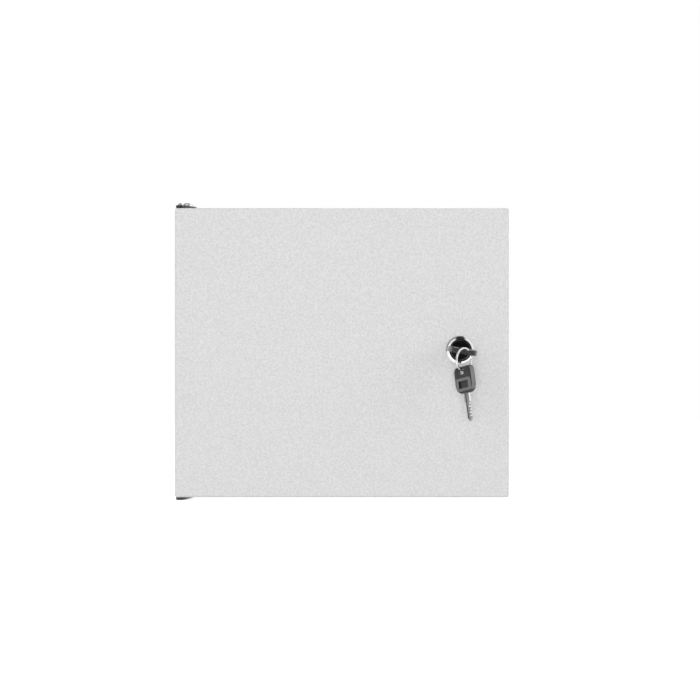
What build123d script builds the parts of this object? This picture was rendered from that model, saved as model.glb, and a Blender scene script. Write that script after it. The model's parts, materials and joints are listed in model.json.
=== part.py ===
from build123d import *
import os
from math import cos, sin, radians

# Steel wall enclosure in millimetres: X to the right, Y into the wall, Z up, wall face at Y = 0.

# Clearances
running_fit = 0.05
thread_fit = 0.05
bolt_fit = 0.25
face_gap = 0.2

# Folded sheet body and door
door_width = 300.0
door_height = 260.0
enclosure_depth = 110.0
sheet = 1.2
bend_radius = 2.0
door_rim = 14.0
hinge_gap = 0.8
flange_setback = 18.0
flange_width = 15.0
lip_height = 10.0
lip_corner = 3.0
wall_hole_radius = 4.0
wall_hole_inset = 18.0

# Foamed door seal
seal_width = 10.0
seal_gap = 0.3
seal_corner = 6.0

# Mounting plate on welded studs
plate_margin = 30.0
plate_thickness = 2.0
plate_corner = 3.0
plate_standoff = 8.0
spacer_radius = 6.0
plate_stud_inset = 14.0
plate_stud_radius = 3.0
stud_spare = 3.0

# Earth studs on the back wall and on the door
earth_stud_radius = 3.0
earth_stud_length = 20.0
earth_stud_inset = 50.0
earth_stud_rise = 19.0
door_earth_length = 14.0
door_earth_rise = 25.0

# Washers and nuts, for the three thread sizes used inside
washer_thickness = 1.6
washer_radius = 6.0
large_nut_flats = 10.0
large_nut_height = 5.0
small_nut_flats = 8.0
small_nut_height = 4.0

# Blank cable entry plate over a cut-out in the bottom wall
entry_width = 160.0
entry_depth = 46.0
entry_setback = 45.0
entry_overlap = 12.0
entry_corner = 4.0
entry_seal = 2.0
entry_plate = 1.5
entry_stud_radius = 2.5
entry_stud_columns = 4

# Corner pivot hinges
pin_radius = 2.0
pin_inset = 4.5
pin_setback = 8.0
pin_reach = 8.0
pin_head_radius = 2.6
pin_head_height = 2.0
pin_peened_height = 0.4
pin_bevel = 0.6
bracket_thickness = 2.0
bracket_nose = 4.5
bracket_pad = 7.0
hinge_screw_radius = 2.5
hinge_screw_head = 4.7
hinge_screw_head_height = 3.6
hinge_screw_bevel = 1.2
hinge_screw_inset = 9.0
hinge_screw_setback = 7.0
hinge_screw_pitch = 16.0
bush_wall = 1.0
bush_length = 4.0
bush_flange = 0.6
bush_flange_radius = 4.0

# Cam lock
lock_inset = 44.0
lock_rise = 2.5
lock_seal = 0.8
head_radius = 12.5
head_height = 4.0
head_bevel = 0.8
head_crown = 0.5
head_dish = 1.6
barrel_radius = 9.5
barrel_flats = 16.5
lock_washer_thickness = 1.0
lock_washer_radius = 13.0
lock_nut_flats = 24.0
lock_nut_height = 5.0
plug_head_radius = 8.45
plug_head_height = 1.6
plug_radius = 6.45
plug_recess = 1.6
tail_square = 8.0
tail_thread_radius = 3.0
cam_gap = 0.8
cam_thickness = 2.0
cam_length = 40.0
cam_hub_radius = 9.0
cam_tip_radius = 7.0

# Keys, with steel blades in moulded bows
key_tilt = 10.0
bow_standoff = 6.0
neck_length = 3.2
neck_width = 9.0
neck_thickness = 4.0
bow_length = 20.3
bow_width = 25.0
bow_thickness = 5.2
bow_nose = 2.4
bow_taper = 8.0
bow_corner = 4.5
bow_edge = 0.5
rib_width = 0.8
rib_rise = 0.3
rib_margin = 1.8
rib_corner = 2.0
rib_setback = 9.2
rib_length = 10.0
bridge = 2.0
ring_slot_width = 18.5
ring_slot_depth = 6.2
ring_slot_corner = 0.8
bow_recess_width = 13.5
bow_recess_length = 6.4
bow_recess_depth = 0.8
bow_recess_setback = 14.2
tang_length = 9.0
blade_length = 24.0
blade_width = 7.0
blade_thickness = 1.6
blade_tip = 3.0
blade_groove = 1.2
blade_groove_depth = 0.4
blade_shoulder = 7.5
blade_step = 1.4
keyway_gap = 0.15
cut_pitch = 2.7
cut_flat = 1.0
cut_depths = (1.0, 1.9, 0.8, 1.6, 1.2)

# Split ring and the spare key on it
ring_radius = 9.8
ring_width = 1.4
ring_thickness = 1.4
ring_yaw = 47.0
ring_offset = 0.4
ring_shift = -0.8
ring_play = 0.8
spare_play = 1.0
spare_tilt = 12.0
spare_yaw = 60.0

# Places worked out from the sizes above
door_front = -enclosure_depth
door_back = door_front + sheet
body_height = door_height + 2 * hinge_gap
flange_front = door_front + flange_setback
flange_back = flange_front + sheet
lip_front = flange_front - lip_height
lip_width = door_width - 2 * (flange_width - sheet)
lip_tall = body_height - 2 * (flange_width - sheet)
seal_back = lip_front - seal_gap
seal_line = (seal_width - sheet) / 2
door_left = -door_width / 2
body_top = body_height / 2
floor_top = -body_top + sheet
pin_x = door_left + pin_inset
pin_y = door_front + pin_setback
bracket_bottom = body_top
bracket_top = body_top + bracket_thickness
hinge_screw_x = door_left + hinge_screw_inset
hinge_screw_y = (flange_back + hinge_screw_setback, flange_back + hinge_screw_setback + hinge_screw_pitch)
plate_width = door_width - 2 * plate_margin
plate_tall = body_height - 2 * plate_margin
plate_back = -sheet - plate_standoff
plate_front = plate_back - plate_thickness
earth_x = door_left + earth_stud_inset
earth_z = -body_top + earth_stud_rise
door_earth_z = -door_height / 2 + door_earth_rise
lock_x = door_width / 2 - lock_inset
lock_z = lock_rise
head_back = door_front - lock_seal
head_front = head_back - head_height
cam_front = flange_back + cam_gap
cam_back = cam_front + cam_thickness
plug_front = head_front + plug_recess
plug_step = plug_front + plug_head_height
bow_front = -bow_standoff - neck_length - bow_length
ring_inner = ring_radius - ring_width / 2
ring_x = lock_x + ring_offset
ring_y = door_front + bow_front + bridge / 2 + ring_shift
bridge_thickness = bow_nose + (bow_thickness - bow_nose) * bridge / 2 / bow_taper
bridge_top = (bridge_thickness / 2 - ring_offset * sin(radians(key_tilt))) / cos(radians(key_tilt))
ring_z = lock_z + bridge_top + ring_play - ring_inner

# The X-Z outlines of the turning lock core, and the frame of the key in it
core_place = Pos(lock_x, lock_z) * Rot(0, 0, -key_tilt)
key_place = Pos(lock_x, door_front, lock_z) * Rot(0, key_tilt, 0)


def turned_plane(origin, yaw):
    """An upright plane whose normal is turned from +X towards the front; its Y axis points down."""
    across = Vector(cos(radians(yaw)), -sin(radians(yaw)), 0)
    through = Vector(sin(radians(yaw)), cos(radians(yaw)), 0)
    return Plane(origin, x_dir=across, z_dir=through)


def front_prism(outline, back, front):
    """A solid from an outline in the X-Z plane, between its wall side and its front side."""
    return extrude(Plane((0, back, 0), x_dir=(1, 0, 0), z_dir=(0, -1, 0)) * outline, back - front)


def level_prism(outline, bottom, top):
    """A solid from an outline in the X-Y plane, between two heights."""
    return extrude(Plane.XY.offset(bottom) * outline, top - bottom)


def ring_outline(outer, inner):
    """A round washer's outline."""
    return Circle(outer) - Circle(inner)


def nut_outline(flats, thread_radius):
    """A hexagon nut's outline with its bore."""
    return RegularPolygon(flats / 2, 6, major_radius=False) - Circle(thread_radius + thread_fit)


def spread(places, outline):
    """The same outline at each place, as one sketch."""
    return Sketch() + [place * outline for place in places]


def both_ends(top_solids):
    """Solids at the top wall and their mirror images at the bottom wall."""
    return Compound(children=top_solids + [mirror(solid, Plane.XY) for solid in top_solids])


def plate_places():
    """The four studs that carry the mounting plate."""
    return list(GridLocations(plate_width - 2 * plate_stud_inset, plate_tall - 2 * plate_stud_inset, 2, 2))


def wall_places():
    """The four wall fixing holes in the back."""
    return list(GridLocations(door_width - 2 * wall_hole_inset, body_height - 2 * wall_hole_inset, 2, 2))


def entry_places():
    """The studs round the cable entry cut-out."""
    columns = entry_stud_columns
    step = (entry_width + entry_overlap) / (columns - 1)
    grid = GridLocations(step, entry_depth + entry_overlap, columns, 2)
    return [Pos(0, -entry_setback) * spot for spot in grid]


def enclosure_body():
    """Folded box with an inward front flange and a forward lip that the door seal closes on."""
    depth = -flange_front
    centre = Pos(0, flange_front / 2, 0)
    outside = centre * Box(door_width, depth, body_height)
    inside = centre * Box(door_width - 2 * sheet, depth - 2 * sheet, body_height - 2 * sheet)
    body = fillet(outside.edges(), bend_radius) - fillet(inside.edges(), bend_radius - sheet)
    lip = RectangleRounded(lip_width, lip_tall, lip_corner)
    opening = RectangleRounded(lip_width - 2 * sheet, lip_tall - 2 * sheet, lip_corner - sheet)
    body = body + front_prism(lip, flange_back, lip_front) - front_prism(opening, flange_back, lip_front)
    body -= front_prism(spread(wall_places(), Circle(wall_hole_radius)), 0, -sheet)
    cut_out = Pos(0, -entry_setback) * RectangleRounded(entry_width, entry_depth, entry_corner)
    body -= level_prism(cut_out, -body_top, floor_top)
    screw_holes = spread(hinge_screw_places(), Circle(hinge_screw_radius + bolt_fit))
    body -= level_prism(screw_holes, body_top - sheet, body_top)
    body -= level_prism(screw_holes, -body_top, floor_top)
    return body


def mounting_studs():
    """Threaded studs welded to the back wall."""
    reach = plate_front - washer_thickness - large_nut_height - stud_spare
    return front_prism(spread(plate_places(), Circle(plate_stud_radius)), -sheet, reach)


def plate_spacers():
    """Sleeves on the studs that stand the mounting plate off the wall."""
    sleeve = ring_outline(spacer_radius, plate_stud_radius + bolt_fit)
    return front_prism(spread(plate_places(), sleeve), -sheet, plate_back)


def mounting_plate():
    """Flat galvanised plate that the fitted equipment is screwed to."""
    outline = RectangleRounded(plate_width, plate_tall, plate_corner)
    outline -= spread(plate_places(), Circle(plate_stud_radius + bolt_fit))
    return front_prism(outline, plate_back, plate_front)


def plate_washers():
    """Flat washers on the mounting plate."""
    washer = ring_outline(washer_radius, plate_stud_radius + bolt_fit)
    return front_prism(spread(plate_places(), washer), plate_front, plate_front - washer_thickness)


def plate_nuts():
    """Hexagon nuts that clamp the mounting plate."""
    seat = plate_front - washer_thickness
    nuts = spread(plate_places(), nut_outline(large_nut_flats, plate_stud_radius))
    return front_prism(nuts, seat, seat - large_nut_height)


def earth_stud():
    """Earth stud welded to the back wall below the mounting plate."""
    return front_prism(Pos(earth_x, earth_z) * Circle(earth_stud_radius), -sheet, -sheet - earth_stud_length)


def earth_washers():
    """Two washers that clamp an earth lead's eye between them."""
    washer = Pos(earth_x, earth_z) * ring_outline(washer_radius, earth_stud_radius + bolt_fit)
    seats = (-sheet, -sheet - washer_thickness)
    return Compound(children=[front_prism(washer, seat, seat - washer_thickness) for seat in seats])


def earth_nut():
    """Nut on the earth stud."""
    seat = -sheet - 2 * washer_thickness
    nut = Pos(earth_x, earth_z) * nut_outline(large_nut_flats, earth_stud_radius)
    return front_prism(nut, seat, seat - large_nut_height)


def entry_cover(stud_clearance):
    """The cable entry plate's outline, with its stud holes."""
    width = entry_width + 2 * entry_overlap
    depth = entry_depth + 2 * entry_overlap
    cover = Pos(0, -entry_setback) * RectangleRounded(width, depth, entry_corner)
    return cover - spread(entry_places(), Circle(entry_stud_radius + stud_clearance))


def gland_studs():
    """Studs welded to the bottom wall round the cable entry."""
    reach = entry_seal + entry_plate + small_nut_height + stud_spare
    return level_prism(spread(entry_places(), Circle(entry_stud_radius)), floor_top, floor_top + reach)


def gland_gasket():
    """Flat rubber frame between the cable entry plate and the bottom wall."""
    cut_out = Pos(0, -entry_setback) * RectangleRounded(entry_width, entry_depth, entry_corner)
    return level_prism(entry_cover(bolt_fit) - cut_out, floor_top, floor_top + entry_seal)


def gland_plate():
    """Blank plate that is drilled for the cables on site."""
    seat = floor_top + entry_seal
    return level_prism(entry_cover(bolt_fit), seat, seat + entry_plate)


def gland_nuts():
    """Nuts that hold the cable entry plate."""
    seat = floor_top + entry_seal + entry_plate
    nuts = spread(entry_places(), nut_outline(small_nut_flats, entry_stud_radius))
    return level_prism(nuts, seat, seat + small_nut_height)


def hinge_screw_places():
    """The two screws of one hinge bracket, one behind the other."""
    return [Pos(hinge_screw_x, y) for y in hinge_screw_y]


def top_hinge_bracket():
    """Plate on the top wall with a rounded nose over the door that carries the pivot pin."""
    nose = Pos(pin_x, pin_y) * Circle(bracket_nose)
    pads = [place * Circle(bracket_pad) for place in hinge_screw_places()]
    heel_y = hinge_screw_y[-1] + bracket_pad - bracket_nose
    heel = Pos(door_left + bracket_nose, heel_y) * Circle(bracket_nose)
    outline = make_hull([edge for disc in [nose, heel] + pads for edge in disc.edges()])
    outline -= Pos(pin_x, pin_y) * Circle(pin_radius + thread_fit)
    outline -= spread(hinge_screw_places(), Circle(hinge_screw_radius + bolt_fit))
    return level_prism(outline, bracket_bottom, bracket_top)


def bottom_hinge_bracket():
    """The same bracket on the bottom wall."""
    return mirror(top_hinge_bracket(), Plane.XY)


def pivot_pin(end_radius, end_height):
    """Pivot pin from its end on the bracket down into the door."""
    centre = Pos(pin_x, pin_y)
    shank = level_prism(centre * Circle(pin_radius), bracket_bottom - pin_reach, bracket_top)
    end = level_prism(centre * Circle(end_radius), bracket_top, bracket_top + end_height)
    return shank + chamfer(end.edges().sort_by(Axis.Z)[-1], min(end_height / 2, pin_bevel))


def top_hinge_pin():
    """Upper pin, with a domed head on the bracket."""
    return pivot_pin(pin_head_radius, pin_head_height)


def bottom_hinge_pin():
    """Lower pin, peened almost flush under its bracket."""
    return mirror(pivot_pin(pin_head_radius, pin_peened_height), Plane.XY)


def hinge_screws():
    """Pan head screws that hold the brackets to the top and bottom walls."""
    tip = body_top - sheet - small_nut_height - stud_spare
    head_top = bracket_top + hinge_screw_head_height
    screws = []
    for place in hinge_screw_places():
        head = level_prism(place * Circle(hinge_screw_head), bracket_top, head_top)
        head = chamfer(head.edges().sort_by(Axis.Z)[-1], hinge_screw_bevel)
        screws.append(head + level_prism(place * Circle(hinge_screw_radius), tip, bracket_top))
    return both_ends(screws)


def hinge_nuts():
    """Nuts of the bracket screws, inside the walls."""
    seat = body_top - sheet
    outline = nut_outline(small_nut_flats, hinge_screw_radius)
    places = hinge_screw_places()
    return both_ends([level_prism(place * outline, seat - small_nut_height, seat) for place in places])


def door_panel():
    """Folded tray with rounded front bends, holes for the hinge bushes and a lock hole with two flats."""
    middle = door_front + door_rim / 2
    outside = Pos(0, middle, 0) * Box(door_width, door_rim, door_height)
    inside = Pos(0, middle + sheet, 0) * Box(door_width - 2 * sheet, door_rim, door_height - 2 * sheet)
    bends = outside.edges() - outside.faces().sort_by(Axis.Y)[-1].edges()
    hollow = inside.edges() - inside.faces().sort_by(Axis.Y)[-1].edges()
    door = fillet(bends, bend_radius) - fillet(hollow, bend_radius - sheet)
    door -= front_prism(barrel_outline(bolt_fit), door_back, door_front)
    bush_hole = Pos(pin_x, pin_y) * Circle(pin_radius + bush_wall + thread_fit)
    door -= level_prism(bush_hole, -door_height / 2, door_height / 2)
    return door


def door_gasket():
    """Foamed seal on the door's inner face, in line with the body's lip."""
    around = RectangleRounded(lip_width + 2 * seal_line, lip_tall + 2 * seal_line, seal_corner + seal_width)
    within = RectangleRounded(
        lip_width + 2 * seal_line - 2 * seal_width, lip_tall + 2 * seal_line - 2 * seal_width, seal_corner
    )
    seal = front_prism(around - within, seal_back, door_back)
    return chamfer(seal.faces().sort_by(Axis.Y)[-1].edges(), seal_width / 5)


def top_hinge_bush():
    """Flanged plastic bush in the door's rim, turning on the pivot pin."""
    rim = door_height / 2
    bore = Pos(pin_x, pin_y) * Circle(pin_radius + running_fit)
    sleeve = Pos(pin_x, pin_y) * Circle(pin_radius + bush_wall) - bore
    flange = Pos(pin_x, pin_y) * Circle(bush_flange_radius) - bore
    return level_prism(sleeve, rim - bush_length, rim) + level_prism(flange, rim, rim + bush_flange)


def bottom_hinge_bush():
    """The same bush at the door's lower rim."""
    return mirror(top_hinge_bush(), Plane.XY)


def door_earth_stud():
    """Earth stud welded inside the door."""
    place = Pos(earth_x, door_earth_z)
    return front_prism(place * Circle(earth_stud_radius), door_back + door_earth_length, door_back)


def door_earth_nut():
    """Nut on the door's earth stud."""
    nut = Pos(earth_x, door_earth_z) * nut_outline(large_nut_flats, earth_stud_radius)
    return front_prism(nut, door_back + large_nut_height, door_back)


def barrel_outline(clearance):
    """The lock barrel's round section with two flats."""
    flats = Rectangle(2 * barrel_radius + 4 * clearance, barrel_flats + 2 * clearance)
    return Pos(lock_x, lock_z) * (Circle(barrel_radius + clearance) & flats)


def lock_disc(radius):
    """A disc on the lock's axis."""
    return Pos(lock_x, lock_z) * Circle(radius)


def lock_gasket():
    """Flat seal between the lock's head and the door."""
    return front_prism(lock_disc(head_radius) - barrel_outline(bolt_fit), door_front, head_back)


def lock_housing():
    """Chromed head, crowned and dished round its mouth, on a flatted barrel bored for the turning plug."""
    mouth_radius = plug_head_radius + running_fit
    crown_edge = head_radius - head_bevel
    profile = make_face(
        Polyline(
            (0, head_back),
            (head_radius, head_back),
            (head_radius, head_front + head_crown + head_bevel),
            (crown_edge, head_front + head_crown),
            (mouth_radius + head_dish, head_front),
            (mouth_radius, head_front + head_dish),
            (0, head_front + head_dish),
            close=True,
        )
    )
    housing = Pos(lock_x, 0, lock_z) * revolve(profile, Axis.Y)
    housing += front_prism(barrel_outline(0), cam_front - face_gap, head_back)
    housing -= front_prism(lock_disc(plug_radius + running_fit), cam_front, plug_step)
    return housing - front_prism(lock_disc(mouth_radius), plug_step, head_front)


def lock_washer():
    """Washer between the lock nut and the door."""
    washer = lock_disc(lock_washer_radius) - barrel_outline(bolt_fit)
    return front_prism(washer, door_back + lock_washer_thickness, door_back)


def lock_nut():
    """Thin nut that clamps the lock into the door."""
    seat = door_back + lock_washer_thickness
    nut = Pos(lock_x, lock_z) * nut_outline(lock_nut_flats, barrel_radius)
    return front_prism(nut, seat + lock_nut_height, seat)


def lock_plug():
    """Turning plug with its keyway, and a square tail and thread for the cam."""
    tail_end = cam_back + washer_thickness + large_nut_height + face_gap
    plug = front_prism(lock_disc(plug_head_radius), plug_step, plug_front)
    plug += front_prism(lock_disc(plug_radius), cam_front, plug_step)
    plug += front_prism(core_place * Rectangle(tail_square, tail_square), cam_back, cam_front)
    plug += front_prism(lock_disc(tail_thread_radius), tail_end, cam_back)
    keyway_back = door_front - bow_standoff + blade_length + keyway_gap
    keyway = core_place * Rectangle(blade_width + 2 * keyway_gap, blade_thickness + 2 * keyway_gap)
    return plug - front_prism(keyway, keyway_back, plug_front)


def lock_cam():
    """Flat cam that turns behind the body's right flange; it hangs down while unlocked."""
    tip = Pos(0, cam_tip_radius - cam_length) * Circle(cam_tip_radius)
    outline = make_hull(Circle(cam_hub_radius).edges() + tip.edges())
    hole = tail_square + 2 * thread_fit
    return front_prism(core_place * (outline - Rectangle(hole, hole)), cam_back, cam_front)


def cam_washer():
    """Washer on the cam."""
    washer = lock_disc(washer_radius) - lock_disc(tail_thread_radius + thread_fit)
    return front_prism(washer, cam_back + washer_thickness, cam_back)


def cam_nut():
    """Nut on the plug's tail."""
    seat = cam_back + washer_thickness
    nut = core_place * nut_outline(large_nut_flats, tail_thread_radius)
    return front_prism(nut, seat + large_nut_height, seat)


def flat_key_piece(outline, thickness):
    """A key piece in the key's own frame: X across, Y from bow to tip, Z through its thickness."""
    return extrude(outline, thickness / 2, both=True)


def blade_in_key():
    """Blade stepped in beyond its shoulder, with cuts on one edge, a groove on each face and a tang."""
    start = -bow_standoff
    end = start + blade_length
    half = blade_width / 2
    back = half - blade_step
    outline = make_face(
        Polyline(
            (-half, start - tang_length),
            (half, start - tang_length),
            (half, end - blade_tip),
            (half - blade_tip / 2, end),
            (blade_tip / 2 - back, end),
            (-back, end - blade_tip),
            (-back, start + blade_shoulder),
            (-half, start + blade_shoulder),
            close=True,
        )
    )
    for index, depth in enumerate(cut_depths):
        middle = start + blade_shoulder + (index + 0.5) * cut_pitch
        outline -= make_face(
            Polyline(
                (half, middle - cut_flat / 2 - depth),
                (half, middle + cut_flat / 2 + depth),
                (half - depth, middle + cut_flat / 2),
                (half - depth, middle - cut_flat / 2),
                close=True,
            )
        )
    blade = flat_key_piece(outline, blade_thickness)
    groove = Pos(-half / 4, (start + end) / 2, 0) * Box(blade_groove, blade_length, blade_groove_depth)
    for side in (-1, 1):
        blade -= Pos(0, 0, side * (blade_thickness - blade_groove_depth) / 2) * groove
    return blade


def bow_taper_cut():
    """The wedge that thins the bow's upper face towards its outer end."""
    face = bow_thickness / 2
    ahead = bow_front - bow_taper
    thinned = face - (bow_thickness - bow_nose)
    wedge = make_face(Polyline((bow_front + bow_taper, face), (ahead, thinned), (ahead, face), close=True))
    return extrude(Plane.YZ * wedge, bow_width, both=True)


def bow_rib():
    """Raised rib round the middle of the bow, standing out of both faces."""
    width = bow_width - 2 * rib_margin
    outline = RectangleRounded(width, rib_length, rib_corner)
    outline -= RectangleRounded(width - 2 * rib_width, rib_length - 2 * rib_width, rib_corner - rib_width)
    middle = Pos(0, bow_front + rib_setback + rib_length / 2)
    return flat_key_piece(middle * outline, bow_thickness + 2 * rib_rise)


def bow_in_key():
    """Moulded bow, thinner at its ring slot, with a ribbed recess on each face, a neck and a tang pocket."""
    outline = Pos(0, bow_front + bow_length / 2) * RectangleRounded(bow_width, bow_length, bow_corner)
    slot = Pos(0, bow_front + bridge + ring_slot_depth / 2)
    outline -= slot * RectangleRounded(ring_slot_width, ring_slot_depth, ring_slot_corner)
    bow = flat_key_piece(outline, bow_thickness)
    bow = chamfer(bow.faces().filter_by(Axis.Z).edges(), bow_edge)
    wedge = bow_taper_cut()
    bow = bow - wedge - mirror(wedge, Plane.XY) + bow_rib()
    neck_start = bow_front + bow_length - bow_edge
    neck_end = -bow_standoff
    neck = Pos(0, (neck_start + neck_end) / 2, 0) * Box(neck_width, neck_end - neck_start, neck_thickness)
    bow += chamfer(neck.edges().filter_by(Axis.Y), bow_edge)
    recess = Box(bow_recess_width, bow_recess_length, bow_recess_depth)
    for side in (-1, 1):
        bow -= Pos(0, bow_front + bow_recess_setback, side * (bow_thickness - bow_recess_depth) / 2) * recess
    tang = Pos(0, -bow_standoff - tang_length / 2, 0) * Box(blade_width, tang_length, blade_thickness)
    return bow - tang


def spare_place():
    """The spare key's frame, hanging by its slot from the bottom of the ring and tilted a little."""
    wire = turned_plane((ring_x, ring_y, ring_z - ring_radius), spare_yaw)
    hang = bow_front + bridge + spare_play + ring_width / 2
    return wire.location * Rot(0, 0, -spare_tilt) * Pos(0, -hang, 0)


def key_blade():
    """Blade of the key that is in the lock."""
    return key_place * blade_in_key()


def key_bow():
    """Bow of the key that is in the lock."""
    return key_place * bow_in_key()


def split_ring():
    """Flat-wound spring ring, closed to the outline of its two turns."""
    ring = extrude(ring_outline(ring_radius + ring_width / 2, ring_inner), ring_thickness / 2, both=True)
    upright = turned_plane((ring_x, ring_y, ring_z), ring_yaw).location
    return upright * Rot(0, 90, 0) * ring


def spare_key_blade():
    """Blade of the spare key."""
    return spare_place() * blade_in_key()


def spare_key_bow():
    """Bow of the spare key."""
    return spare_place() * bow_in_key()


pieces = (
    enclosure_body, mounting_studs, plate_spacers, mounting_plate, plate_washers, plate_nuts,
    earth_stud, earth_washers, earth_nut, gland_studs, gland_gasket, gland_plate, gland_nuts,
    top_hinge_bracket, bottom_hinge_bracket, top_hinge_pin, bottom_hinge_pin, hinge_screws, hinge_nuts,
    door_panel, door_gasket, top_hinge_bush, bottom_hinge_bush, door_earth_stud, door_earth_nut,
    lock_gasket, lock_housing, lock_washer, lock_nut,
    lock_plug, lock_cam, cam_washer, cam_nut,
    key_blade, key_bow, split_ring, spare_key_blade, spare_key_bow,
)

os.makedirs("parts", exist_ok=True)
for piece in pieces:
    export_step(piece(), f"parts/{piece.__name__}.step")
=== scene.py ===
import json
import math
import bmesh
import bpy
from mathutils import Matrix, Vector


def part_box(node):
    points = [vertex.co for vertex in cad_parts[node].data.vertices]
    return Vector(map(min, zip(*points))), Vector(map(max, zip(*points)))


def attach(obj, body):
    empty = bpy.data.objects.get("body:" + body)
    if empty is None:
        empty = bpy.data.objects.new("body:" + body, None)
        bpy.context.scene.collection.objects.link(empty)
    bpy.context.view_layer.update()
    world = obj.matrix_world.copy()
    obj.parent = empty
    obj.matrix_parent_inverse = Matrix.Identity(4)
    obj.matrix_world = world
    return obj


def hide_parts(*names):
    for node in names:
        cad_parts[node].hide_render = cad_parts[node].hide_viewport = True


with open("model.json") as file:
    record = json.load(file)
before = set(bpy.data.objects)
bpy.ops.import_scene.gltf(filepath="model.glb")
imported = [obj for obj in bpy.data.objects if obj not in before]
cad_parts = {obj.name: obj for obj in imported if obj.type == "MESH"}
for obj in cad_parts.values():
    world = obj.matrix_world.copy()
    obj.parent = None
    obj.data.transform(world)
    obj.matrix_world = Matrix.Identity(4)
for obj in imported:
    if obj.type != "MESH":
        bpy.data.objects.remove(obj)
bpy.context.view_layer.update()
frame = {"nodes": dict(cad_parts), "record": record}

MM = 0.001
nodes = frame["nodes"]
scene = bpy.context.scene
scene.view_settings.view_transform = "Standard"


# Camera: square to the door at its own distance, a little above the middle of the box.
# The lens and the small shifts set the door where the photograph has it.
door_low, door_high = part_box("door_panel")
door_front = door_low[1]
camera_distance = 1000 * MM
camera_height = 43 * MM
frame_pixels = 700
door_pixels = (174.7, 509.1)
door_middle = (341.9, 352.8)
sensor_width = 36.0
pixel_size = (door_high[0] - door_low[0]) / (door_pixels[1] - door_pixels[0])
camera_data = bpy.data.cameras.new("photo_camera")
camera_data.sensor_width = sensor_width
camera_data.lens = sensor_width * camera_distance / (frame_pixels * pixel_size)
camera_data.shift_x = (frame_pixels / 2 - door_middle[0]) / frame_pixels
camera_data.shift_y = (door_middle[1] - frame_pixels / 2 - camera_height / pixel_size) / frame_pixels
camera = bpy.data.objects.new("photo_camera", camera_data)
camera.location = (0, door_front - camera_distance, camera_height)
camera.rotation_euler = (math.radians(90), 0, 0)
scene.collection.objects.link(camera)
scene.camera = camera


# Studio surround: white to the eye; metal sees bright panels in front and on the right, and dimmer paper.
# The camera's own place and a flag above it are dark in metal. Matt surfaces get more light from both sides.
# Edges are components of the unit direction, from where a panel starts to where it is full.
def linear(code):
    """A colour written as sRGB hex, as the linear RGBA that a shader takes."""
    values = [int(code[i:i + 2], 16) / 255 for i in (1, 3, 5)]
    return tuple(v / 12.92 if v <= 0.04045 else ((v + 0.055) / 1.055) ** 2.4 for v in values) + (1.0,)


def add_node(tree, kind, settings=None, links=None):
    """Adds a node, sets its properties and sockets, and links outputs of other nodes to its sockets."""
    node = tree.nodes.new(kind)
    for name, value in (settings or {}).items():
        if isinstance(name, str) and hasattr(node, name):
            setattr(node, name, value)
        else:
            node.inputs[name].default_value = value
    for name, output in (links or {}).items():
        tree.links.new(output, node.inputs[name])
    return node


def ramp(tree, value, start, end, first=0.0, last=1.0):
    """A value that runs from a first to a last level while another goes from start to end."""
    settings = {"From Min": start, "From Max": end, "To Min": first, "To Max": last}
    return add_node(tree, "ShaderNodeMapRange", settings, {"Value": value}).outputs[0]


def combine(tree, operation, first, second):
    """Two values joined by one sum; a plain number may be the second."""
    if isinstance(second, float):
        return add_node(tree, "ShaderNodeMath", {"operation": operation, 1: second}, {0: first}).outputs[0]
    return add_node(tree, "ShaderNodeMath", {"operation": operation}, {0: first, 1: second}).outputs[0]


surround_light = 0.45
surround_sides = 1.1
surround_dim = 0.25
surround_dark = 0.04
front_panel_edge = (-0.62, -0.50)
right_panel_edge = (0.25, 0.45)
side_panel_edge = (0.65, 0.85)
flag_middle = 0.09
flag_side = (0.18, 0.28)
flag_bottom = (0.36, 0.46)
camera_shade_edge = (-0.95, -0.90)
world = bpy.data.worlds.new("white_studio")
world.use_nodes = True
scene.world = world
tree = world.node_tree
tree.nodes.clear()
direction = add_node(tree, "ShaderNodeTexCoord")
split = add_node(tree, "ShaderNodeSeparateXYZ", links={0: direction.outputs["Generated"]})
front_panel = ramp(tree, split.outputs["Y"], *front_panel_edge, 1.0, 0.0)
right_panel = ramp(tree, split.outputs["X"], *right_panel_edge)
panels = combine(tree, "MAXIMUM", front_panel, right_panel)
from_flag = combine(tree, "ABSOLUTE", combine(tree, "SUBTRACT", split.outputs["X"], flag_middle), 0.0)
flag_height = ramp(tree, split.outputs["Z"], *flag_bottom)
flag = combine(tree, "MULTIPLY", flag_height, ramp(tree, from_flag, *flag_side, 1.0, 0.0))
camera_shade = ramp(tree, split.outputs["Y"], *camera_shade_edge, 1.0, 0.0)
shade = combine(tree, "MAXIMUM", flag, camera_shade)
bright = ramp(tree, panels, 0.0, 1.0, surround_dim, 1.0)
reflected = combine(tree, "MAXIMUM", combine(tree, "SUBTRACT", bright, shade), surround_dark)
path = add_node(tree, "ShaderNodeLightPath")
seen = combine(tree, "MAXIMUM", path.outputs["Is Camera Ray"], path.outputs["Is Transmission Ray"])
glossy = combine(tree, "MULTIPLY", path.outputs["Is Glossy Ray"], reflected)
sideways = combine(tree, "ABSOLUTE", split.outputs["X"], 0.0)
spread = ramp(tree, sideways, *side_panel_edge, surround_light, surround_sides)
lit = combine(tree, "MULTIPLY", path.outputs["Is Diffuse Ray"], spread)
strength = combine(tree, "MAXIMUM", combine(tree, "MAXIMUM", seen, glossy), lit)
background = add_node(tree, "ShaderNodeBackground", {"Color": linear("#ffffff")}, {"Strength": strength})
add_node(tree, "ShaderNodeOutputWorld", links={"Surface": background.outputs[0]})


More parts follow.
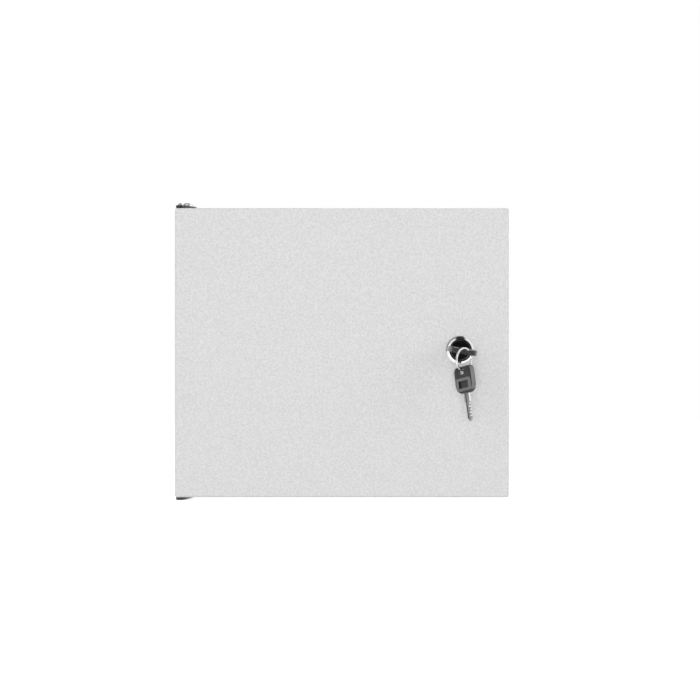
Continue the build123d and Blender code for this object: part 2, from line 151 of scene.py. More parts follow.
# Studio floor: white paper well below the wall box, which keeps the box's soft shadow.
# The camera sees it lifted to the white of the surround, and bright metal sees it too.
floor_drop = 0.5
floor_size = 8.0
floor_lift = 0.83
bpy.ops.object.select_all(action="DESELECT")
bpy.ops.mesh.primitive_plane_add(size=floor_size, location=(0, 0, -floor_drop))
floor = bpy.context.object
floor.name = "studio_floor"
paper = bpy.data.materials.new("white_studio_paper")
paper.use_nodes = True
tree = paper.node_tree
tree.nodes.clear()
matte = add_node(tree, "ShaderNodeBsdfDiffuse", {"Color": linear("#b4b4b4")})
path = add_node(tree, "ShaderNodeLightPath")
direct = combine(tree, "MAXIMUM", path.outputs["Is Camera Ray"], path.outputs["Is Transmission Ray"])
shown = combine(tree, "MAXIMUM", direct, path.outputs["Is Glossy Ray"])
lifted = combine(tree, "MULTIPLY", shown, floor_lift)
white = add_node(tree, "ShaderNodeEmission", {"Color": linear("#ffffff")}, {"Strength": lifted})
paper_sum = add_node(tree, "ShaderNodeAddShader", links={0: matte.outputs[0], 1: white.outputs[0]})
add_node(tree, "ShaderNodeOutputMaterial", links={"Surface": paper_sum.outputs[0]})
floor.data.materials.append(paper)


# Studio lamps: a softbox behind the camera, one on each side, and one behind for the top and the back.
# The front one is in line with the lock and the camera, so that the keys hide their shadows.
# Metal doesn't show it.
box_middle = (0, door_front / 2, 0)


def softbox(name, place, size, power):
    """A square soft lamp that points at the middle of the box."""
    data = bpy.data.lights.new(name, "AREA")
    data.shape = "SQUARE"
    data.size = size
    data.energy = power
    lamp = bpy.data.objects.new(name, data)
    lamp.location = place
    aim = [m - p for m, p in zip(box_middle, place)]
    yaw = math.atan2(aim[0], -aim[1])
    pitch = math.acos(-aim[2] / math.dist(place, box_middle))
    lamp.rotation_euler = (pitch, 0, math.pi + yaw)
    scene.collection.objects.link(lamp)
    return lamp


front = softbox("front_softbox", place=(-0.11, -2.2, 0.09), size=0.8, power=18.8)
front.visible_glossy = False
softbox("left_softbox", place=(-1.5, -1.6, 1.1), size=1.8, power=5)
softbox("right_softbox", place=(1.68, -0.98, 0.6), size=0.9, power=4)
softbox("back_softbox", place=(0.3, 1.3, 1.4), size=1.2, power=16)


# Enclosure body: one box of folded sheet steel with welded corners, and a lip round its mouth for the seal.
# It is sprayed with polyester powder and baked, which gives a satin light grey with a fine orange peel.
# The peel's grain is drawn about twice as coarse as it is, so that it shows at this distance.
def dress(names, material):
    """Gives CAD nodes their material."""
    for name in names:
        nodes[name].data.materials.clear()
        nodes[name].data.materials.append(material)


def new_material(name, settings):
    """A material with one principled shader; constant values go straight on its sockets."""
    material = bpy.data.materials.new(name)
    material.use_nodes = True
    material.node_tree.nodes.clear()
    shader = add_node(material.node_tree, "ShaderNodeBsdfPrincipled", settings)
    add_node(material.node_tree, "ShaderNodeOutputMaterial", links={"Surface": shader.outputs[0]})
    return material, material.node_tree, shader


def grain(tree, size, detail):
    """Soft noise whose spots are of a stated size in metres, read from the piece's own place."""
    place = add_node(tree, "ShaderNodeTexCoord").outputs["Object"]
    noise = add_node(tree, "ShaderNodeTexNoise", {"Scale": 1 / size, "Detail": detail}, {"Vector": place})
    return noise.outputs["Fac"]


def colour_between(tree, dark, pale, factor):
    """A colour that goes from dark to pale with a factor."""
    settings = {"data_type": "RGBA", 6: linear(dark), 7: linear(pale)}
    return add_node(tree, "ShaderNodeMix", settings, {0: factor}).outputs[2]


def powder_coat():
    """Light grey fine-textured polyester powder coat."""
    material, tree, shader = new_material("powder_coat_grey", {"Specular IOR Level": 0.4})
    peel = grain(tree, 2.4 * MM, 2.0)
    speck = ramp(tree, grain(tree, 1.6 * MM, 1.0), 0.25, 0.75)
    bump = add_node(tree, "ShaderNodeBump", {"Strength": 0.5, "Distance": 0.06 * MM}, {"Height": peel})
    tree.links.new(colour_between(tree, "#d2d2d2", "#e6e6e6", speck), shader.inputs["Base Color"])
    tree.links.new(ramp(tree, peel, 0.2, 0.8, 0.42, 0.58), shader.inputs["Roughness"])
    tree.links.new(bump.outputs[0], shader.inputs["Normal"])
    return material


coat = powder_coat()
dress(["enclosure_body"], coat)


# Mounting studs: M6 steel studs with a rolled thread, stood on the back wall by discharge welding.
# They are bright zinc plated, which gives a soft grey metal with faint clouds.
def plated(name, dark, pale, roughness, mottle):
    """A plated metal with faint clouds of a stated size in metres."""
    material, tree, shader = new_material(name, {"Metallic": 1.0})
    cloud = grain(tree, mottle, 3.0)
    tree.links.new(colour_between(tree, dark, pale, cloud), shader.inputs["Base Color"])
    tree.links.new(ramp(tree, cloud, 0.0, 1.0, roughness * 0.8, roughness * 1.2), shader.inputs["Roughness"])
    return material


def into_edit(piece, kind):
    """Opens one piece in edit mode, with all of it selected."""
    bpy.ops.object.select_all(action="DESELECT")
    piece.select_set(True)
    bpy.context.view_layer.objects.active = piece
    bpy.ops.object.mode_set(mode="EDIT")
    bpy.ops.mesh.select_mode(type=kind)
    bpy.ops.mesh.select_all(action="SELECT")


def out_of_edit():
    """Merges what coincides, points the faces outwards and leaves edit mode."""
    bpy.ops.mesh.select_all(action="SELECT")
    bpy.ops.mesh.remove_doubles(threshold=0.001 * MM)
    bpy.ops.mesh.normals_make_consistent(inside=False)
    bpy.ops.object.mode_set(mode="OBJECT")


def pick(piece, kind, test):
    """Selects, in edit mode, the edges or faces that pass a test."""
    bpy.ops.mesh.select_mode(type=kind)
    bpy.ops.mesh.select_all(action="DESELECT")
    mesh = bmesh.from_edit_mesh(piece.data)
    for item in mesh.faces if kind == "FACE" else mesh.edges:
        item.select_set(test(item))
    bmesh.update_edit_mesh(piece.data)


def applied(piece, kind, settings, tool=None):
    """Adds a modifier to a piece and applies it; a tool that it used is then removed."""
    bpy.ops.object.select_all(action="DESELECT")
    piece.select_set(True)
    bpy.context.view_layer.objects.active = piece
    step = piece.modifiers.new("step", kind)
    for name, value in settings.items():
        setattr(step, name, value)
    if tool:
        step.object = tool
    bpy.ops.object.modifier_apply(modifier=step.name)
    if tool:
        bpy.data.objects.remove(tool)


def cleaned(piece):
    """Takes out the slivers that a Boolean can leave."""
    into_edit(piece, "VERT")
    bpy.ops.mesh.dissolve_degenerate(threshold=0.01 * MM)
    out_of_edit()
    return piece


def set_in_place(piece, spot=(0, 0, 0), turn=(0, 0, 0)):
    """Moves and turns a modelled piece, and puts its place into its mesh."""
    bpy.ops.object.select_all(action="DESELECT")
    piece.select_set(True)
    bpy.context.view_layer.objects.active = piece
    piece.location = spot
    piece.rotation_euler = turn
    bpy.ops.object.transform_apply(location=True, rotation=True, scale=True)


def fitted(model, name, spot, turn, material, node):
    """A copy of a modelled piece at its place, with its finish, on the body of the CAD node it stands for."""
    piece = model.copy()
    piece.data = model.data.copy()
    piece.name = name
    scene.collection.objects.link(piece)
    set_in_place(piece, spot, turn)
    bpy.ops.object.shade_smooth_by_angle(angle=math.radians(35))
    if not piece.data.materials:
        piece.data.materials.append(material)
    body = next(b for b, held in frame["record"]["behaviour"]["bodies"].items() if node in held)
    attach(piece, body)
    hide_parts(node)
    return piece


def threaded_rod(radius, length, pitch):
    """A rod up +Z from the origin with a rolled V thread, cut square at both ends."""
    depth = 0.6 * pitch
    bpy.ops.object.select_all(action="DESELECT")
    bpy.ops.mesh.primitive_plane_add(size=pitch)
    rod = bpy.context.object
    into_edit(rod, "VERT")
    bpy.ops.mesh.merge(type="CENTER")
    bpy.ops.transform.translate(value=(radius - depth, 0, -pitch))
    bpy.ops.mesh.extrude_region_move(TRANSFORM_OT_translate={"value": (depth, 0, pitch / 2)})
    bpy.ops.mesh.extrude_region_move(TRANSFORM_OT_translate={"value": (-depth, 0, pitch / 2)})
    bpy.ops.object.mode_set(mode="OBJECT")
    turns = math.ceil(length / pitch) + 2
    applied(rod, "SCREW", {"screw_offset": pitch, "iterations": turns, "steps": 20, "render_steps": 20})
    into_edit(rod, "VERT")
    bpy.ops.mesh.remove_doubles(threshold=0.001 * MM)
    for height, below in ((0, True), (length, False)):
        bpy.ops.mesh.select_all(action="SELECT")
        bpy.ops.mesh.bisect(
            plane_co=(0, 0, height), plane_no=(0, 0, 1), use_fill=True,
            clear_inner=below, clear_outer=not below,
        )
    out_of_edit()
    return rod


forward = (math.radians(90), 0, 0)
backward = (math.radians(-90), 0, 0)
large_pitch = 1.0 * MM
stud_radius = 3.0 * MM
zinc = plated("bright_zinc_plate", "#a9acb0", "#c9cbcd", 0.30, 6 * MM)
low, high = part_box("mounting_studs")
columns = (low[0] + stud_radius, high[0] - stud_radius)
rows = (low[2] + stud_radius, high[2] - stud_radius)
plate_spots = [(x, z) for x in columns for z in rows]
stud = threaded_rod(stud_radius, high[1] - low[1], large_pitch)
for number, (x, z) in enumerate(plate_spots, 1):
    fitted(stud, f"mounting_stud_{number}", (x, high[1], z), forward, zinc, "mounting_studs")
bpy.data.objects.remove(stud)


# Mounting plate: flat galvanised sheet, held off the back wall by turned sleeves on the studs.
# Hot-dip galvanising leaves a spangle of zinc crystals about 9 mm across, each of its own grey.
def galvanised_sheet():
    """Zinc-coated sheet with its spangle."""
    spangle_size = 9 * MM
    material, tree, shader = new_material("galvanised_sheet", {"Metallic": 1.0})
    place = add_node(tree, "ShaderNodeTexCoord").outputs["Object"]
    crystals = add_node(tree, "ShaderNodeTexVoronoi", {"Scale": 1 / spangle_size}, {"Vector": place})
    shade = add_node(tree, "ShaderNodeSeparateColor", links={0: crystals.outputs["Color"]})
    tree.links.new(colour_between(tree, "#a3a8ac", "#bcc0c3", shade.outputs[0]), shader.inputs["Base Color"])
    tree.links.new(ramp(tree, shade.outputs[1], 0.0, 1.0, 0.30, 0.46), shader.inputs["Roughness"])
    return material


galvanised = galvanised_sheet()
dress(["mounting_plate"], galvanised)
dress(["plate_spacers", "plate_washers"], zinc)


# Plate nuts: M6 hexagon nuts that clamp the mounting plate on its studs, over flat washers.
# They are pressed, chamfered on both faces, countersunk at the bore and bright zinc plated.
def turned_bar(radius, bottom, top, end_radius, end_height):
    """A round bar up Z whose two ends run in or out to another radius."""
    middle = (bottom + top) / 2
    reach = (top - bottom) / 2 - end_height
    bpy.ops.object.select_all(action="DESELECT")
    bpy.ops.mesh.primitive_cylinder_add(vertices=48, radius=radius, depth=2 * reach, location=(0, 0, middle))
    bar = bpy.context.object
    set_in_place(bar, (0, 0, middle))
    into_edit(bar, "FACE")
    share = end_radius / radius
    for side in (-1, 1):
        pick(bar, "FACE", lambda face: all(side * (v.co.z - middle) > 0.9 * reach for v in face.verts))
        bpy.ops.mesh.extrude_region_move(TRANSFORM_OT_translate={"value": (0, 0, side * end_height)})
        bpy.ops.transform.resize(value=(share, share, 1), center_override=(0, 0, middle))
    out_of_edit()
    return bar


def hexagon_nut(flats, height, bore):
    """A nut up +Z from the origin, with two corners along X."""
    corner = flats / math.sqrt(3)
    land = 0.475 * flats
    chamfer = (corner - land) * math.tan(math.radians(30))
    sink = 0.05 * flats
    bpy.ops.object.select_all(action="DESELECT")
    bpy.ops.mesh.primitive_cylinder_add(vertices=6, radius=corner, depth=height)
    nut = bpy.context.object
    set_in_place(nut, (0, 0, height / 2), (0, 0, math.radians(30)))
    blank = turned_bar(corner, 0, height, land, chamfer)
    applied(nut, "BOOLEAN", {"operation": "INTERSECT"}, blank)
    drill = turned_bar(bore, -sink, height + sink, bore + 2 * sink, 2 * sink)
    applied(nut, "BOOLEAN", {"operation": "DIFFERENCE"}, drill)
    return cleaned(nut)


thread_gap = 0.05 * MM
large_flats = 10 * MM
low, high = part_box("plate_nuts")
large_height = high[1] - low[1]
large_nut = hexagon_nut(large_flats, large_height, stud_radius + thread_gap)
for number, (x, z) in enumerate(plate_spots, 1):
    fitted(large_nut, f"plate_nut_{number}", (x, high[1], z), forward, zinc, "plate_nuts")


# Earth point: an M6 stud welded to the back wall, with a nut and two washers for the eye of an earth lead.
# All of it is bright zinc plated and left free of paint.
low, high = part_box("earth_stud")
earth_x = (low[0] + high[0]) / 2
earth_z = (low[2] + high[2]) / 2
stud = threaded_rod(stud_radius, high[1] - low[1], large_pitch)
fitted(stud, "earth_point_stud", (earth_x, high[1], earth_z), forward, zinc, "earth_stud")
bpy.data.objects.remove(stud)
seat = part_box("earth_nut")[1][1]
fitted(large_nut, "earth_point_nut", (earth_x, seat, earth_z), forward, zinc, "earth_nut")
dress(["earth_washers"], zinc)


# Cable entry: a blank galvanised plate on a rubber frame, over a cut-out in the bottom wall.
# Eight M5 weld studs and nuts hold it, and the installer drills it for the cables.
def moulded(name, dark, pale, roughness, grit_size):
    """A moulded plastic or rubber with a fine grain of a stated size in metres."""
    material, tree, shader = new_material(name, {"IOR": 1.48})
    grit = grain(tree, grit_size, 2.0)
    bump = add_node(tree, "ShaderNodeBump", {"Strength": 0.3, "Distance": grit_size / 20}, {"Height": grit})
    tree.links.new(colour_between(tree, dark, pale, grit), shader.inputs["Base Color"])
    tree.links.new(ramp(tree, grit, 0.0, 1.0, roughness * 0.85, roughness * 1.15), shader.inputs["Roughness"])
    tree.links.new(bump.outputs[0], shader.inputs["Normal"])
    return material


rubber = moulded("black_sheet_rubber", "#1c1c1c", "#2b2b2b", 0.7, 0.6 * MM)
dress(["gland_gasket"], rubber)
dress(["gland_plate"], galvanised)
small_pitch = 0.8 * MM
small_radius = 2.5 * MM
small_flats = 8 * MM
entry_columns = 4
low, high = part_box("gland_studs")
column_step = (high[0] - low[0] - 2 * small_radius) / (entry_columns - 1)
columns = [low[0] + small_radius + i * column_step for i in range(entry_columns)]
entry_spots = [(x, y) for x in columns for y in (low[1] + small_radius, high[1] - small_radius)]
stud = threaded_rod(small_radius, high[2] - low[2], small_pitch)
nut_low, nut_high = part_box("gland_nuts")
small_height = nut_high[2] - nut_low[2]
small_nut = hexagon_nut(small_flats, small_height, small_radius + thread_gap)
for number, (x, y) in enumerate(entry_spots, 1):
    fitted(stud, f"entry_stud_{number}", (x, y, low[2]), (0, 0, 0), zinc, "gland_studs")
    fitted(small_nut, f"entry_nut_{number}", (x, y, nut_low[2]), (0, 0, 0), zinc, "gland_nuts")
bpy.data.objects.remove(stud)


# Corner pivot hinges: pressed steel straps on the top and bottom walls, with noses that carry the pivot pins.
# The straps are zinc plated. Their dark grey colour is painted shade and dark reflection on their edges, and
# they reflect little.
shaded_hinge_steel = plated("painted_shade_hinge_steel", "#3c3e41", "#56585b", 0.30, 4 * MM)
dress(["top_hinge_bracket", "bottom_hinge_bracket"], shaded_hinge_steel)


# Pivot pins: turned steel pins riveted into the strap noses, the upper with a domed head, the lower peened.
# They are bright from the lathe, with a chamfered tip that finds its way into the door's bush.
def pivot_pin(shank_radius, reach, head_radius, head_height):
    """A pin up +Z: its shank below the origin, its rounded head above."""
    tip = 0.3 * shank_radius
    pin = turned_bar(shank_radius, -reach, 0, shank_radius - tip, tip)
    into_edit(pin, "FACE")
    pick(pin, "FACE", lambda face: all(v.co.z > -0.5 * tip for v in face.verts))
    share = head_radius / (shank_radius - tip)
    bpy.ops.mesh.extrude_region_move(TRANSFORM_OT_translate={"value": (0, 0, 0)})
    bpy.ops.transform.resize(value=(share, share, 1), center_override=(0, 0, 0))
    bpy.ops.mesh.extrude_region_move(TRANSFORM_OT_translate={"value": (0, 0, head_height)})
    pick(pin, "EDGE", lambda edge: all(v.co.z > 0.9 * head_height for v in edge.verts))
    bpy.ops.mesh.bevel(offset=min(0.8 * head_height, 0.6 * head_radius), segments=5, affect="EDGES")
    out_of_edit()
    return pin


pin_steel = plated("bright_turned_steel", "#b4b5b7", "#cccdcf", 0.16, 2 * MM)
pin_radius = 2.0 * MM
upward = (0, 0, 0)
downward = (math.radians(180), 0, 0)
strap_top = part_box("top_hinge_bracket")[1][2]
for end, side, turn in (("top", 1, upward), ("bottom", -1, downward)):
    low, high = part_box(f"{end}_hinge_pin")
    tip, crown = (low[2], high[2]) if side > 0 else (-high[2], -low[2])
    spot = ((low[0] + high[0]) / 2, (low[1] + high[1]) / 2, side * strap_top)
    pin = pivot_pin(pin_radius, strap_top - tip, (high[0] - low[0]) / 2, crown - strap_top)
    fitted(pin, f"{end}_pivot_pin", spot, turn, pin_steel, f"{end}_hinge_pin")
    bpy.data.objects.remove(pin)


# Hinge screws: M5 pan head screws with a cross recess, through strap and wall into nuts inside the box.
# They are cold-headed, zinc plated and tumbled to a pale satin.
def pan_head_screw(head_radius, head_height, shank_radius, shank_length, pitch):
    """A screw up +Z: its thread below the origin, its domed head with a cross recess above."""
    bpy.ops.object.select_all(action="DESELECT")
    bpy.ops.mesh.primitive_cylinder_add(vertices=48, radius=head_radius, depth=head_height)
    screw = bpy.context.object
    set_in_place(screw, (0, 0, head_height / 2))
    into_edit(screw, "EDGE")
    pick(screw, "EDGE", lambda edge: all(v.co.z > 0.9 * head_height for v in edge.verts))
    bpy.ops.mesh.bevel(offset=0.55 * head_height, segments=6, profile=0.6, affect="EDGES")
    out_of_edit()
    recess = (1.1 * head_radius, 0.24 * head_radius, 0.9 * head_height)
    for turn in (0, math.radians(90)):
        bpy.ops.object.select_all(action="DESELECT")
        bpy.ops.mesh.primitive_cube_add(size=1, scale=recess)
        punch = bpy.context.object
        set_in_place(punch, (0, 0, head_height), (0, 0, turn))
        into_edit(punch, "FACE")
        pick(punch, "FACE", lambda face: all(v.co.z < head_height for v in face.verts))
        bpy.ops.transform.resize(value=(0.55, 0.55, 1), center_override=(0, 0, 0))
        out_of_edit()
        applied(screw, "BOOLEAN", {"operation": "DIFFERENCE"}, punch)
    sunk = 0.25 * head_height
    shank = threaded_rod(shank_radius, shank_length + sunk, pitch)
    set_in_place(shank, (0, 0, -shank_length))
    applied(screw, "BOOLEAN", {"operation": "UNION"}, shank)
    return cleaned(screw)


screw_zinc = plated("satin_zinc_screw", "#e4e5e6", "#f0f0f1", 0.45, 2 * MM)
head_radius = 4.7 * MM
low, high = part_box("hinge_screws")
nut_low, nut_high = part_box("hinge_nuts")
screw_x = (low[0] + high[0]) / 2
screw_spots = [(y, side) for y in (low[1] + head_radius, high[1] - head_radius) for side in (1, -1)]
screw_spare = 3.0 * MM
shank_length = strap_top - nut_high[2] + small_height + screw_spare
screw = pan_head_screw(head_radius, high[2] - strap_top, small_radius, shank_length, small_pitch)
for number, (y, side) in enumerate(screw_spots, 1):
    way = upward if side > 0 else downward
    turn = (way[0], 0, math.radians(25 * number))
    fitted(screw, f"hinge_screw_{number}", (screw_x, y, side * strap_top), turn, screw_zinc, "hinge_screws")
    seat = side * (nut_high[2] - small_height)
    fitted(small_nut, f"hinge_nut_{number}", (screw_x, y, seat), way, zinc, "hinge_nuts")
bpy.data.objects.remove(screw)
bpy.data.objects.remove(small_nut)


# Door: one folded tray of the same sheet steel, with rounded front bends and the body's powder coat.
# It is hung on the pivot pins and bored for the lock.
dress(["door_panel"], coat)


# Door seal: polyurethane foam poured onto the door's inner face by a robot, in one bead with no seam.
# It cures with a rounded skin that swells a little unevenly, and is matt black.
seal_width = 10 * MM
seal_corner = 16 * MM
seal_swell = 0.2 * MM
seal_steps = 48
swell_size = 14 * MM
foam = moulded("black_foamed_seal", "#1c1c1c", "#2b2b2b", 0.85, 0.8 * MM)
low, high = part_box("door_gasket")
seal_height = high[1] - low[1] - seal_swell
bpy.ops.object.select_all(action="DESELECT")
bpy.ops.mesh.primitive_plane_add(size=1)
bead = bpy.context.object
bead.scale = (high[0] - low[0], high[2] - low[2], 1)
set_in_place(bead)
into_edit(bead, "VERT")
bpy.ops.mesh.bevel(offset=seal_corner, segments=8, affect="VERTICES")
bpy.ops.mesh.select_mode(type="FACE")
bpy.ops.mesh.select_all(action="SELECT")
bpy.ops.mesh.inset(thickness=seal_width)
bpy.ops.mesh.delete(type="FACE")
bpy.ops.mesh.select_all(action="SELECT")
bpy.ops.mesh.extrude_region_move(TRANSFORM_OT_translate={"value": (0, 0, seal_height)})
pick(
    bead, "EDGE",
    lambda edge: all(v.co.z > 0.9 * seal_height for v in edge.verts) and edge.calc_face_angle(0) > 1,
)
bpy.ops.mesh.bevel(offset=0.42 * seal_width, segments=6, affect="EDGES")
pick(bead, "EDGE", lambda edge: edge.calc_length() > 5 * seal_width)
bpy.ops.mesh.subdivide(number_cuts=seal_steps)
out_of_edit()
swell = bpy.data.textures.new("foam_swell", "CLOUDS")
swell.noise_scale = swell_size
applied(bead, "DISPLACE", {"texture": swell, "strength": seal_swell, "texture_coords": "LOCAL"})
fitted(bead, "poured_door_seal", (0, low[1], (low[2] + high[2]) / 2), backward, foam, "door_gasket")
bpy.data.objects.remove(bead)


# Hinge bushes: flanged sleeves of black nylon, moulded and pressed into the door's rims.
# They turn on the pivot pins and keep the coat off the metal.
nylon = moulded("black_nylon", "#202020", "#2a2a2a", 0.5, 0.4 * MM)
dress(["top_hinge_bush", "bottom_hinge_bush"], nylon)


# Door earth point: an M6 stud welded inside the door, with a nut for the earth lead to the body.
# It is bright zinc plated, like the one on the back wall.
low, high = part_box("door_earth_stud")
spot_x = (low[0] + high[0]) / 2
spot_z = (low[2] + high[2]) / 2
stud = threaded_rod(stud_radius, high[1] - low[1], large_pitch)
fitted(stud, "door_point_stud", (spot_x, low[1], spot_z), backward, zinc, "door_earth_stud")
bpy.data.objects.remove(stud)
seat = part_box("door_earth_nut")[0][1]
fitted(large_nut, "door_point_nut", (spot_x, seat, spot_z), backward, zinc, "door_earth_nut")


# Lock housing: a die-cast zinc head and barrel, polished and chrome plated, and black in the dish.
# It sits in the door's flatted hole on a thin rubber seal, held by a washer and a large thin nut.
def chromed_head(axis, mouth_radius, dish_radius):
    """Polished chrome, black in the dish between two radii round the lock's axis."""
    material, tree, shader = new_material("polished_chrome", {})
    place = add_node(tree, "ShaderNodeTexCoord").outputs["Object"]
    middle = add_node(tree, "ShaderNodeMapping", {"Location": (-axis[0], 0, -axis[1])}, {"Vector": place})
    parts = add_node(tree, "ShaderNodeSeparateXYZ", links={0: middle.outputs[0]})
    flat = add_node(tree, "ShaderNodeCombineXYZ", links={"X": parts.outputs["X"], "Y": parts.outputs["Z"]})
    length = add_node(tree, "ShaderNodeVectorMath", {"operation": "LENGTH"}, {0: flat.outputs[0]})
    radius = length.outputs["Value"]
    black_edge = 0.1 * MM
    mouth = ramp(tree, radius, mouth_radius, mouth_radius + black_edge, 1.0, 0.0)
    metal = combine(tree, "MAXIMUM", ramp(tree, radius, dish_radius, dish_radius + black_edge), mouth)
    tree.links.new(colour_between(tree, "#141414", "#e4e5e6", metal), shader.inputs["Base Color"])
    tree.links.new(metal, shader.inputs["Metallic"])
    tree.links.new(ramp(tree, metal, 0.0, 1.0, 0.5, 0.08), shader.inputs["Roughness"])
    return material


low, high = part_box("lock_housing")
lock_x = (low[0] + high[0]) / 2
lock_z = (low[2] + high[2]) / 2
mouth_radius = 8.75 * MM
dish_radius = 10.0 * MM
lock_bore = 9.55 * MM
dress(["lock_housing"], chromed_head((lock_x, lock_z), mouth_radius, dish_radius))
dress(["lock_gasket"], rubber)
dress(["lock_washer"], zinc)
low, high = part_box("lock_nut")
lock_nut = hexagon_nut(high[2] - low[2], high[1] - low[1], lock_bore)
fitted(lock_nut, "lock_fixing_nut", (lock_x, low[1], lock_z), backward, zinc, "lock_nut")
bpy.data.objects.remove(lock_nut)


# Lock core: a turning plug of dark zinc alloy with the keyway, and a stamped steel cam on its square tail.
# A washer and an M6 nut hold the cam; it turns behind the body's flange.
plug_dark = plated("dark_lock_plug", "#232325", "#303032", 0.35, 3 * MM)
dress(["lock_plug"], plug_dark)
dress(["lock_cam", "cam_washer"], zinc)
key_roll = math.radians(10)
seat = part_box("cam_nut")[1][1]
fitted(large_nut, "cam_fixing_nut", (lock_x, seat, lock_z), (forward[0], key_roll, 0), zinc, "cam_nut")
bpy.data.objects.remove(large_nut)


# Key blades: milled from steel strip, with cuts on one edge and a groove on each face, and nickel plated.
# One is in the lock and the other hangs from it on the ring.
nickel = plated("nickel_plate", "#989897", "#b0b0af", 0.20, 3 * MM)
dress(["key_blade", "spare_key_blade"], nickel)


# Key bows: dark grey plastic moulded round the blades' tangs, with a slot for the ring near the outer end.
# The bridge outside the slot is thinned where the ring lies, and each face has a raised pad with a recess.
# The pads are smooth and paler than the grained rest. The side faces are pale as a painted sheen of the side
# light, and the upper edge of the key in the lock is paler still as a painted highlight of the light from
# above.
grained_plastic = moulded("black_key_plastic", "#262728", "#323334", 0.40, 0.3 * MM)
# Pale plastic: the pads' own paler colour, and a painted sheen on the bows' side faces.
pad_and_sheen_plastic = moulded("pad_and_sheen_key_plastic", "#696a6a", "#777878", 0.34, 0.6 * MM)
# Painted highlight: a pale plastic for the upper edge of the key in the lock, standing in for light from
# above.
painted_highlight_plastic = moulded("painted_highlight_key_plastic", "#b4b5b5", "#c6c7c7", 0.30, 0.6 * MM)


def upright(edge):
    """Whether an edge stands straight up."""
    one, two = (v.co for v in edge.verts)
    return (one - two).xy.length < 0.1 * (one - two).length


def block(size, middle, corners=(0, 0), rim=0):
    """A box with upright edges rounded at its outer and inner end, and softened rims."""
    bpy.ops.object.select_all(action="DESELECT")
    bpy.ops.mesh.primitive_cube_add(size=1)
    piece = bpy.context.object
    piece.scale = size
    set_in_place(piece, middle)
    into_edit(piece, "EDGE")
    tiny = 0.01 * MM
    for end, radius in zip((-1, 1), corners):
        edge_y = end * middle[1] + size[1] / 2 - tiny
        pick(piece, "EDGE", lambda edge: all(end * v.co.y > edge_y for v in edge.verts) and upright(edge))
        if radius:
            bpy.ops.mesh.bevel(offset=radius, segments=8, affect="EDGES")
    rim_z = size[2] / 2 - tiny
    pick(
        piece, "EDGE",
        lambda edge: all(abs(v.co.z - middle[2]) > rim_z for v in edge.verts) and not upright(edge),
    )
    if rim:
        bpy.ops.mesh.bevel(offset=rim, segments=3, affect="EDGES")
    out_of_edit()
    return piece


def key_bow(slot_sides, slot_depth, top_edge_highlight):
    """A bow in the key's frame: X across, Y from the bow to the tip, Z through its thickness."""
    outer_end = -29.5 * MM
    inner_end = -6.2 * MM
    blade_start = -6.0 * MM
    width = 24.4 * MM
    thickness = 4.6 * MM
    rim = 0.6 * MM
    outer_corner = 4.5 * MM
    inner_corner = 8 * MM
    pad_width = 21.2 * MM
    pad_length = 11.6 * MM
    pad_middle = outer_end + 15.7 * MM
    pad_face = thickness / 2 + 0.35 * MM
    pad_corner = 2.5 * MM
    pad_rim = 0.3 * MM
    recess_width = 13.5 * MM
    recess_length = 6.4 * MM
    recess_floor = 1.3 * MM
    cut_corner = 0.8 * MM
    tang_width = 7 * MM
    tang_length = 9 * MM
    tang_thickness = 1.6 * MM
    bridge = 2.0 * MM
    bridge_thickness = 2.5 * MM
    trough_width = 10 * MM
    trough_rim = 0.9 * MM
    bow = block(
        (width, inner_end - outer_end, thickness), (0, (inner_end + outer_end) / 2, 0),
        (outer_corner, inner_corner), rim,
    )
    pad = block(
        (pad_width, pad_length, 2 * pad_face), (0, pad_middle, 0), (pad_corner, pad_corner), pad_rim,
    )
    applied(bow, "BOOLEAN", {"operation": "UNION"}, pad)
    slot = block(
        (slot_sides[1] - slot_sides[0], slot_depth, 2 * thickness),
        (sum(slot_sides) / 2, outer_end + bridge + slot_depth / 2, 0), (cut_corner, cut_corner),
    )
    applied(bow, "BOOLEAN", {"operation": "DIFFERENCE"}, slot)
    tang = block((tang_width, tang_length, tang_thickness), (0, blade_start - tang_length / 2, 0))
    applied(bow, "BOOLEAN", {"operation": "DIFFERENCE"}, tang)
    for side in (-1, 1):
        trough = block(
            (trough_width, 2 * bridge, thickness),
            (0, outer_end + bridge / 2, side * (bridge_thickness + thickness) / 2), rim=trough_rim,
        )
        applied(bow, "BOOLEAN", {"operation": "DIFFERENCE"}, trough)
        recess = block(
            (recess_width, recess_length, thickness),
            (0, pad_middle, side * (recess_floor + thickness / 2)), (cut_corner, cut_corner),
        )
        applied(bow, "BOOLEAN", {"operation": "DIFFERENCE"}, recess)
    bow.data.materials.append(grained_plastic)
    bow.data.materials.append(pad_and_sheen_plastic)
    # The pads and the side faces get the pale plastic; on the side faces it is a painted sheen of the side
    # light.
    into_edit(bow, "FACE")
    pick(
        bow, "FACE",
        lambda face: abs(face.calc_center_median().z) > 0.99 * pad_face
        or abs(face.calc_center_median().x) > 0.4 * width and abs(face.normal.x) > 0.5,
    )
    bow.active_material_index = 1
    bpy.ops.object.material_slot_assign()
    # On the key in the lock, the upper rim at the outer end gets the pale plastic as a painted highlight of
    # the light from above.
    if top_edge_highlight:
        bow.data.materials.append(painted_highlight_plastic)
        pick(
            bow, "FACE",
            lambda face: face.calc_center_median().y < outer_end + rim
            and face.normal.z > 0.3 and face.normal.y < -0.2,
        )
        bow.active_material_index = 2
        bpy.ops.object.material_slot_assign()
    out_of_edit()
    return bow


bow = key_bow(slot_sides=(-6.5 * MM, 9.25 * MM), slot_depth=6.2 * MM, top_edge_highlight=True)
fitted(bow, "lock_key_bow", (lock_x, door_front, lock_z), (0, key_roll, 0), None, "key_bow")
bpy.data.objects.remove(bow)


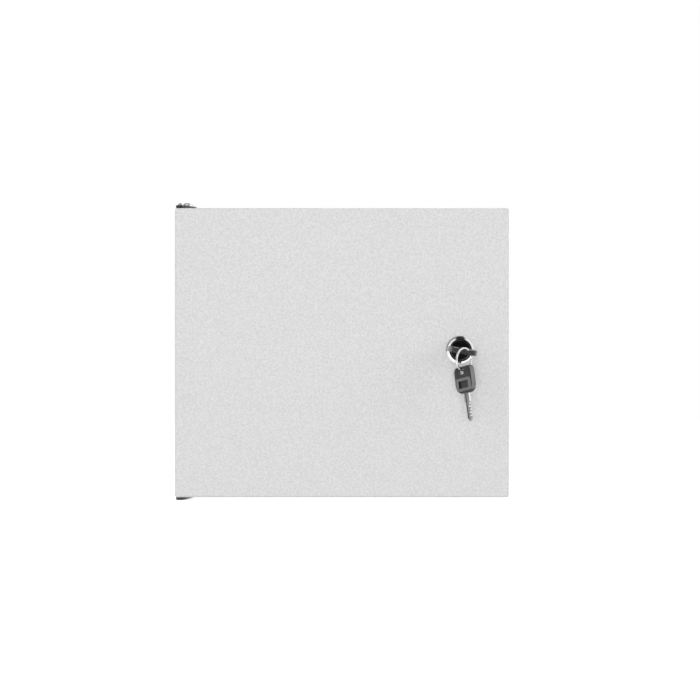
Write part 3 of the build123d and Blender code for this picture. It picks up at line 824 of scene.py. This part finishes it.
# Split ring: flat spring steel wire wound in two turns that lie on each other, with a joggle between them.
# It is bright nickel plated and carries the spare key.
wire_width = 1.4 * MM
wire_thickness = 0.66 * MM
turn_lift = 0.7 * MM
step_angle = math.radians(8)
joggle_steps = 4
turn_steps = 41
ring_spring = plated("bright_nickel_ring", "#e2e2e1", "#eeeeed", 0.14, 3 * MM)
low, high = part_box("split_ring")
ring_spot = [(a + b) / 2 for a, b in zip(low, high)]
ring_radius = (high[2] - low[2] - wire_width) / 2
joint = next(j for j in frame["record"]["behaviour"]["joints"] if j["name"] == "spare_key_swing")
ring_yaw = math.atan2(-joint["axis"][1], -joint["axis"][0])
bpy.ops.object.select_all(action="DESELECT")
bpy.ops.mesh.primitive_plane_add(size=1)
coil = bpy.context.object
coil.scale = (wire_width, wire_thickness, 1)
set_in_place(coil, (ring_radius, 0, -turn_lift / 2), forward)
into_edit(coil, "VERT")
bpy.ops.mesh.bevel(offset=0.3 * wire_thickness, segments=3, affect="VERTICES")
bpy.ops.mesh.select_mode(type="FACE")
bpy.ops.mesh.select_all(action="SELECT")
for step in range(2 * turn_steps + joggle_steps):
    rise = turn_lift / joggle_steps if turn_steps <= step < turn_steps + joggle_steps else 0
    bpy.ops.mesh.extrude_region_move(TRANSFORM_OT_translate={"value": (0, 0, rise)})
    bpy.ops.transform.rotate(value=step_angle, orient_axis="Z", center_override=(0, 0, 0))
out_of_edit()
fitted(coil, "wound_split_ring", ring_spot, (forward[0], 0, ring_yaw), ring_spring, "split_ring")
bpy.data.objects.remove(coil)


# Spare key's bow: the same moulding with a shorter slot, hung by it from the bottom of the ring.
# It hangs nearly square to the wire and leans a little.
spare_yaw = math.radians(60)
spare_tilt = math.radians(-12)
spare_hang = 25.8 * MM
hanging = Matrix((
    (math.cos(spare_yaw), 0, math.sin(spare_yaw)), (-math.sin(spare_yaw), 0, math.cos(spare_yaw)), (0, -1, 0)
)).to_4x4()
hanging.translation = (ring_spot[0], ring_spot[1], ring_spot[2] - ring_radius)
hanging = hanging @ Matrix.Rotation(spare_tilt, 4, "Z") @ Matrix.Translation((0, spare_hang, 0))
bow = key_bow(slot_sides=(-8.5 * MM, 1.8 * MM), slot_depth=4.8 * MM, top_edge_highlight=False)
fitted(bow, "spare_bow", hanging.translation, hanging.to_euler(), None, "spare_key_bow")
bpy.data.objects.remove(bow)
